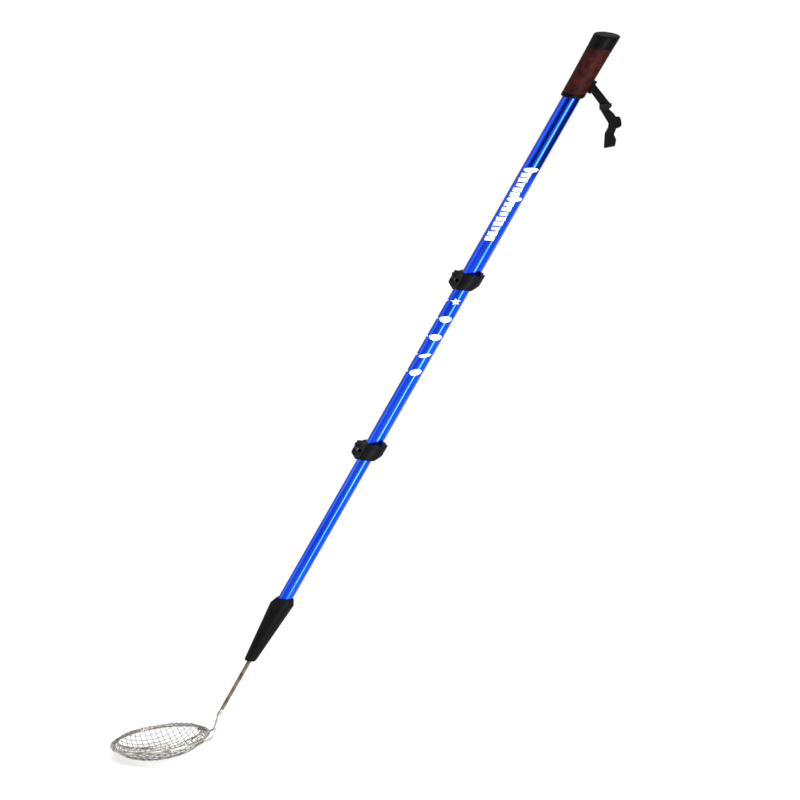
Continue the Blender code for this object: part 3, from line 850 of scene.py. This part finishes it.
def drill(radius, steps):
    """A long round cutter along Z."""
    outline = [(0, BEYOND), (radius, BEYOND), (radius, -BEYOND), (0, -BEYOND)]
    return turned(outline, closed=False, steps=steps)


def collar_mesh(half, outer_tube, inner_tube):
    """The split collar about the clamp's middle: ears, stepped bore, slit, bolt hole and two grooves."""
    body = [(0, half), (CLAMP_RADIUS, half), (CLAMP_RADIUS, -half), (0, -half)]
    ears = box_mesh((-EAR_REACH, -EAR_HALF_WIDTH, -half + EAR_INSET), (0, EAR_HALF_WIDTH, half - EAR_INSET))
    wide, narrow = outer_tube + TOUCH, inner_tube + INNER_TUBE_GAP
    bore = [(0, BEYOND), (wide, BEYOND), (wide, 0), (narrow, 0), (narrow, -BEYOND), (0, -BEYOND)]
    slit = box_mesh((-2 * EAR_REACH, -1.5, -BEYOND), (-inner_tube / 2, 1.5, BEYOND))
    hole = turned_to(drill(BOLT_HOLE_RADIUS, 40), 90, "X")
    hole = moved(hole, BARREL.x, 0, BOLT_HEIGHT + RAKE * BARREL.x)
    groove = [(CLAMP_RADIUS + 1, 0.45), (CLAMP_RADIUS - 0.5, 0), (CLAMP_RADIUS + 1, -0.45)]
    grooves = [moved(raked(turned(groove)), z=z) for z in (3.5 - half, half - 3.5)]
    cuts = [*corner_wedges(half), turned(bore, closed=False), slit, hole, *grooves]
    return carved(raked(turned(body, closed=False)), cuts, COLLAR_BEVEL, joins=[raked(ears)])


def lever_mesh(half):
    """The cam lever, about its barrel: a curved blade with an eye, and a notch for the bolt."""
    inner = CLAMP_RADIUS + 0.7
    toward = math.degrees(math.atan2(BARREL.y, BARREL.x))
    outline = [
        *arc(inner + BLADE_THICKNESS, -20, toward + 23, 40),
        *arc(CAM_RADIUS, -110, -330, 40, BARREL),
        *arc(inner, toward + 3, -20, 44),
    ]
    blade = raked(prism([(x - BARREL.x, y - BARREL.y) for x, y in outline], half))
    notch = box_mesh((-2 * CAM_RADIUS, -2 * CAM_RADIUS, 1.2), (CAM_RADIUS + 1, 2 * CAM_RADIUS, 5.8))
    corners = [moved(wedge, -BARREL.x, -BARREL.y, -RAKE * BARREL.x) for wedge in corner_wedges(half)]
    return carved(blade, [drill(EYE_RADIUS, 48), notch, *corners], LEVER_BEVEL)


def clamp(prefix, outer_node, inner_node, collar_body, lever_body):
    """Split collar and cam lever, placed where the CAD has them."""
    collar = f"{prefix}_clamp_collar"
    lever = f"{prefix}_clamp_lever"
    low, high = span(collar, raked=True)
    half = (high - low) / 2
    station = (high + low) / 2
    mesh = moved(collar_mesh(half, reach(outer_node), reach(inner_node)), z=station)
    piece(f"{collar}_moulding", mesh, BLACK, collar_body, replaces=[collar])
    mesh = moved(lever_mesh(half), BARREL.x, BARREL.y, station + RAKE * BARREL.x)
    piece(f"{lever}_moulding", mesh, BLACK, lever_body, replaces=[lever])


# -------------------------------------------------------------------------------- ferrule and rod


def ferrule():
    """Tapered ferrule with a chamfered shoulder and a bored tip, and the steel rod that it holds."""
    low, high = span("ferrule", raked=True)
    bore = reach("lower_tube") + TOUCH
    rod = ROD_RADIUS + TOUCH
    outline = [
        (bore, high),
        (11.3, high),
        (FERRULE_SHOULDER, high - 10.5),
        (8.0, low + 2),
        (6.8, low),
        (rod, low),
        (rod, low + 44),
        (bore, low + 45),
    ]
    mesh = raked(turned(fillet(outline, [None, 0.6, 0.9, 1.2, 0.6, 0.3, None, None], closed=True, count=5)))
    piece("ferrule_moulding", mesh, BLACK, "lower", replaces=["ferrule"])

    low, high = span("basket_rod")
    tip = low + 108
    outline = [(0, high), (ROD_RADIUS, high), (ROD_RADIUS, tip), (ROD_END_RADIUS, low + 1), (0, low)]
    outline = fillet(outline, [None, 0.4, None, 1.6, None], count=6)
    mesh = turned(outline, closed=False, steps=48)
    piece("basket_rod_steel", mesh, ROD_STEEL, "lower", replaces=["basket_rod"])


# -------------------------------------------------------------------------------- basket


def bowl_profile():
    """The bowl's middle surface from its centre out, as a function of the length along it, ending in the hook
    that wraps the top ring."""
    side = RIM_RADIUS - RIM_WIRE - 2 * TOUCH
    points = [
        (0, -BOWL_DEPTH + 0.5),
        (15, -BOWL_DEPTH + 0.45),
        (30, -BOWL_DEPTH + 0.6),
        (0.64 * side, -0.86 * BOWL_DEPTH + 0.4),
        (0.785 * side, -0.67 * BOWL_DEPTH + 0.4),
        (0.885 * side, -0.46 * BOWL_DEPTH + 0.3),
        (side - 2.1, -4.0),
        (side - 0.6, -0.2),
        (TOP_RING_RADIUS + 2.2, TOP_RING_RISE + 0.1),
    ]
    path = [Vector(p) for p in smooth_path([(r, 0, z) for r, z in points], 12)]
    hook = TOP_RING_WIRE + MESH_WIRE + 0.08
    for step in range(12):
        angle = math.radians(40 + 16 * step)
        out, up = hook * math.cos(angle), hook * math.sin(angle)
        path.append(Vector((TOP_RING_RADIUS + out, 0, TOP_RING_RISE + up)))
    return path


def woven_bowl():
    """Two sets of wires, straight in the flat sheet, pressed into the bowl and crimped over each other."""
    path = bowl_profile()
    lengths = [0.0]
    for a, b in zip(path, path[1:]):
        lengths.append(lengths[-1] + (b - a).length)
    total = lengths[-1]
    radii = [p.x for p in path]
    heights = [p.z for p in path]

    def on_bowl(x, y, lift):
        length = min(math.hypot(x, y), total)
        r = float(np.interp(length, lengths, radii))
        z = float(np.interp(length, lengths, heights))
        step = 0.4
        r_next = float(np.interp(min(length + step, total), lengths, radii))
        z_next = float(np.interp(min(length + step, total), lengths, heights))
        r_last = float(np.interp(max(length - step, 0), lengths, radii))
        z_last = float(np.interp(max(length - step, 0), lengths, heights))
        slope = Vector((r_next - r_last, 0, z_next - z_last)).normalized()
        turn = math.atan2(y, x)
        outward = Vector((math.cos(turn), math.sin(turn), 0))
        normal = Vector((0, 0, 1)) * slope.x - outward * slope.z
        return outward * r + Vector((0, 0, z)) + normal * lift

    sets = (("bowl_warp_wires", MESH_TURN, 1), ("bowl_weft_wires", MESH_TURN + math.pi / 2, -1))
    for name, turn, sign in sets:
        direction = Vector((math.cos(turn), math.sin(turn)))
        sideways = Vector((-math.sin(turn), math.cos(turn)))
        count = int((total - 7) / MESH_PITCH)
        paths = []
        for k in range(-count, count + 1):
            offset = k * MESH_PITCH
            half = math.sqrt(total**2 - offset**2)
            steps = int(half / 0.9)
            parity = 1 if k % 2 else -1
            line = []
            for i in range(-steps, steps + 1):
                along = half * i / steps
                flat = direction * along + sideways * offset
                fade = min(1.0, (half - abs(along)) / 3)
                lift = sign * parity * MESH_WIRE * math.cos(math.pi * along / MESH_PITCH) * fade
                line.append(on_bowl(flat.x, flat.y, lift))
            paths.append(line)
        mesh = wires(paths, MESH_WIRE, sides=7)
        replaced = ["basket_mesh"] if sign > 0 else []
        piece(name, mesh, MESH_STEEL, "lower", BASKET, replaces=replaced, angle=60)


def rings_and_fork():
    """Rim, top ring and the two arms of the fork."""
    for node, radius, wire, height in (
        ("rim_ring", RIM_RADIUS, RIM_WIRE, 0.0),
        ("top_ring", TOP_RING_RADIUS, TOP_RING_WIRE, TOP_RING_RISE),
    ):
        mesh = turned(arc(wire, 90, -255, 24, (radius, height)), steps=180)
        piece(f"{node}_wire", mesh, CHROME, "lower", BASKET, replaces=[node], angle=60)

    tilt = LEAN - BASKET_TILT
    fork = Vector((RIM_RADIUS + FORK_OUT, 0, FORK_RISE))
    pole = Vector((math.sin(tilt), 0, math.cos(tilt)))
    hold = RIM_WIRE + ARM_WIRE + TOUCH
    side_step = ROD_END_RADIUS + ARM_WIRE + 2 * TOUCH
    for node, side in (("fork_arm_front", -1), ("fork_arm_back", 1)):

        def around_rim(angle, out, rise):
            turn = math.radians(angle)
            return ((RIM_RADIUS + out) * math.cos(turn), side * (RIM_RADIUS + out) * math.sin(turn), rise)

        start = fork + Vector((0, side * side_step, 0))
        first, last = 24, 40
        route = [
            start + 12 * pole,
            start + 4.8 * pole,
            around_rim(0.20 * first, 0.85 * FORK_OUT, 0.69 * FORK_RISE),
            around_rim(0.33 * first, 0.70 * FORK_OUT, 0.33 * FORK_RISE),
            around_rim(0.52 * first, 0.55 * FORK_OUT, 0.02 * FORK_RISE),
            around_rim(0.74 * first, 0.36 * FORK_OUT, -0.84 * hold),
            around_rim(first, 0.09 * FORK_OUT, -hold),
            *(around_rim(first + (last - first) * i / 3, 0, -hold) for i in (1, 2, 3)),
        ]
        mesh = wires([smooth_path(route, 10)], ARM_WIRE, sides=20)
        piece(f"{node}_wire", mesh, CHROME, "lower", BASKET, replaces=[node], angle=60)


# -------------------------------------------------------------------------------- strap

# Level X and Z from the pin. The webbing runs into its root and into the slider.
STRAP_WEB = [(4.15, 4.2), (26.9, -25.4), (10.9, -25.4), (-2.25, -7.3)]
STRAP_SLIDER = [(10.2, -24.0), (27.6, -24.0), (28.6, -27.4), (23.2, -33.0), (10.2, -33.0)]
STRAP_LOOP = [
    (10.9, -31.8), (23.0, -31.8), (29.9, -37.8), (34.8, -44.5), (36.5, -54.0), (34.2, -62.0), (31.2, -69.9),
    (34.8, -77.3), (32.9, -86.7), (16.8, -89.6), (18.0, -68.6), (22.6, -60.0), (23.5, -53.2),
]  # fmt: skip
STRAP_TAIL = [
    (24.5, -40.0), (35.5, -43.4), (39.6, -43.4), (42.0, -48.9), (42.4, -57.5), (35.0, -61.2), (26.0, -52.0),
]  # fmt: skip
WEBBING = 1.4  # thickness of one ply
PLY_OFFSET = 1.9  # from the strap's middle to each ply of the loop


def strap():
    """Webbing plies, the slider and the loop round the pin, hanging beside the grip."""
    pin = across("strap_pin")
    pin_x = float(pin[:, 0].max() + pin[:, 0].min()) / 2
    pin_z = float(pin[:, 2].max() + pin[:, 2].min()) / 2
    anchor = POLE.to_3x3() @ Vector((pin_x, 0, pin_z)) * MM

    def ply(name, node, outline, corner, middle, thickness, look, wave=0.0, voxel=0.42):
        """A soft flat piece: its outline rounded, remeshed evenly, its edges softened, and gently waved."""
        shape = fillet(outline, [corner] * len(outline), closed=True, count=4)
        mesh = turned_to(prism(shape, thickness / 2), 90, "X")
        body = scratch(mesh)
        remesh = body.modifiers.new("even", "REMESH")
        remesh.mode = "VOXEL"
        remesh.voxel_size = voxel
        soft = body.modifiers.new("soft", "SMOOTH")
        soft.iterations = 4
        mesh = evaluated_mesh(body)
        for vert in mesh.vertices:
            x, y, z = vert.co
            bend = math.sin(0.16 * z + 0.05 * x) + 0.5 * math.sin(0.31 * z - 0.12 * x + 1)
            vert.co.y += middle + wave * bend
        place = Matrix.Translation(anchor)
        return piece(name, mesh, look, "strap", place, replaces=[node], angle=80)

    ply("strap_web_band", "strap_web", STRAP_WEB, 0.5, 0, 2 * WEBBING, WEB)
    ply("strap_slider_moulding", "strap_slider", STRAP_SLIDER, 1.4, 0, 6.0, BLACK, voxel=0.3)
    ply("strap_front_band", "strap_front_ply", STRAP_LOOP, 1.6, -PLY_OFFSET, WEBBING, WEB, 0.35)
    ply("strap_back_band", "strap_back_ply", STRAP_LOOP, 1.6, PLY_OFFSET, WEBBING, WEB, 0.35)
    ply("strap_tail_band", "strap_tail", STRAP_TAIL, 2.0, 0, WEBBING, WEB, 0.35)
    outside, inside, half = 2.42, 1.3, 7.5
    outline = [(outside, half), (outside, -half), (inside, -half), (inside, half)]
    mesh = moved(turned(fillet(outline, [0.3] * 4, closed=True, count=3), steps=48), pin_x, 0, pin_z)
    piece("strap_root_band", mesh, WEB, "strap", replaces=["strap_root"])


# -------------------------------------------------------------------------------- small CAD nodes


def kept_nodes():
    """CAD nodes whose shape stays: welded and their edges broken, each with its own material."""
    looks = {
        "grip_core": BLACK,
        "strap_bracket": BLACK,
        "strap_pin": ZINC,
        "middle_guide_bush": NYLON,
        "lower_guide_bush": NYLON,
        "rod_insert": ZINC,
        "rod_cross_pin": ZINC,
    }
    for prefix in ("upper", "lower"):
        for part in ("barrel", "bolt", "nut"):
            looks[f"{prefix}_clamp_{part}"] = ZINC
    for node, look in looks.items():
        obj = frame["nodes"][node]
        obj.data.materials.clear()
        obj.data.materials.append(look)
        weld = obj.modifiers.new("weld", "WELD")
        weld.merge_threshold = 1e-6
        rounded = obj.modifiers.new("rounded", "BEVEL")
        rounded.width = 0.2 * MM
        rounded.segments = 2
        rounded.limit_method = "ANGLE"
        rounded.angle_limit = math.radians(40)


# -------------------------------------------------------------------------------- studio


def area_light(name, place, aim, width, height, power, upright=(0, 0, 1)):
    """A soft rectangular light pointed at a place, its height along the upright direction."""
    light = bpy.data.lights.new(name, "AREA")
    light.shape = "RECTANGLE"
    light.size = width
    light.size_y = height
    light.energy = power
    made = bpy.data.objects.new(name, light)
    back = (Vector(place) - Vector(aim)).normalized()
    side = Vector(upright).cross(back).normalized()
    turn = Matrix((side, back.cross(side), back)).transposed().to_4x4()
    made.matrix_world = Matrix.Translation(place) @ turn
    made.visible_camera = False
    bpy.context.scene.collection.objects.link(made)


def beside_pole(angle, distance, station):
    """A place beside the pole, in metres: an angle in degrees from the front towards the right."""
    turn = math.radians(angle)
    return POLE @ Vector((distance * math.sin(turn), -distance * math.cos(turn), station))


def shade_card(name, start, end, top, bottom, look):
    """A grey card curved round the pole, which only reflections show."""
    work = bmesh.new()
    columns = []
    for step in range(9):
        angle = start + (end - start) * step / 8
        columns.append([work.verts.new(beside_pole(angle, CARD_DISTANCE, z)) for z in (bottom, top)])
    for left, right in zip(columns, columns[1:]):
        work.faces.new((left[0], right[0], right[1], left[1]))
    mesh = bpy.data.meshes.new(name)
    work.to_mesh(mesh)
    work.free()
    mesh.materials.append(look)
    card = bpy.data.objects.new(name, mesh)
    card.visible_camera = False
    card.visible_diffuse = False
    card.visible_transmission = False
    card.visible_shadow = False
    bpy.context.scene.collection.objects.link(card)


def camera():
    """A long lens on the middle of the tool, from a little above."""
    made = bpy.data.objects.new("camera", bpy.data.cameras.new("camera"))
    made.data.lens = 800
    made.data.sensor_width = 36
    made.data.clip_end = 100
    back = Vector((0, -math.cos(CAMERA_ELEVATION), math.sin(CAMERA_ELEVATION)))
    made.location = CAMERA_AIM + CAMERA_DISTANCE * back
    made.rotation_euler = (math.pi / 2 - CAMERA_ELEVATION, 0, 0)
    bpy.context.scene.collection.objects.link(made)
    bpy.context.scene.camera = made


def floor():
    """A plain floor just under the object."""
    work = bmesh.new()
    bmesh.ops.create_grid(work, x_segments=8, y_segments=8, size=15)
    bmesh.ops.translate(work, vec=(CAMERA_AIM.x, 0, CAD_BOX[0][2] - 0.0005), verts=work.verts)
    mesh = bpy.data.meshes.new("floor")
    work.to_mesh(mesh)
    work.free()
    mesh.materials.append(pale_floor())
    made = bpy.data.objects.new("floor", mesh)
    bpy.context.scene.collection.objects.link(made)


def lights():
    """World, two softboxes, a strip by the pole, an overhead sun, and the cards that the tubes reflect."""
    world = bpy.data.worlds.new("studio")
    world.use_nodes = True
    background = world.node_tree.nodes["Background"]
    background.inputs["Color"].default_value = (1, 1, 1, 1)
    background.inputs["Strength"].default_value = 0.72
    bpy.context.scene.world = world

    middle = (Vector(CAD_BOX[0]) + Vector(CAD_BOX[1])) / 2
    area_light("left_softbox", middle + Vector((-3.2, -0.2, 0.6)), middle, 1.6, 3.4, 22)
    area_light("right_softbox", middle + Vector((3.2, 0.2, 0.6)), middle, 1.6, 3.4, 19)
    strip, aim = (beside_pole(STRIP_ANGLE, distance, -0.5) for distance in (0.5, 0))
    area_light("key_strip", strip, aim, 0.13, 1.15, 7.5, UP_THE_POLE)
    sun = bpy.data.lights.new("overhead", "SUN")
    sun.energy = 1.35
    sun.angle = math.radians(50)
    overhead = bpy.data.objects.new("overhead", sun)
    overhead.rotation_euler = (math.radians(14), math.radians(-10), 0)
    bpy.context.scene.collection.objects.link(overhead)
    grey = grey_card()
    shade_card("left_card", -14, -52, 0.05, -0.40, grey)
    shade_card("right_card", 44, 125, 0.05, -0.27, grey)


camera()
floor()
lights()
bpy.context.scene.view_settings.view_transform = "Standard"
tube("upper_tube", "handle", UPPER_WALL)
tube("middle_tube", "middle", INNER_WALL)
tube("lower_tube", "lower", INNER_WALL)
prints()
grip()
clamp("upper", "upper_tube", "middle_tube", "handle", "upper_lever")
clamp("lower", "middle_tube", "lower_tube", "middle", "lower_lever")
ferrule()
woven_bowl()
rings_and_fork()
strap()
kept_nodes()
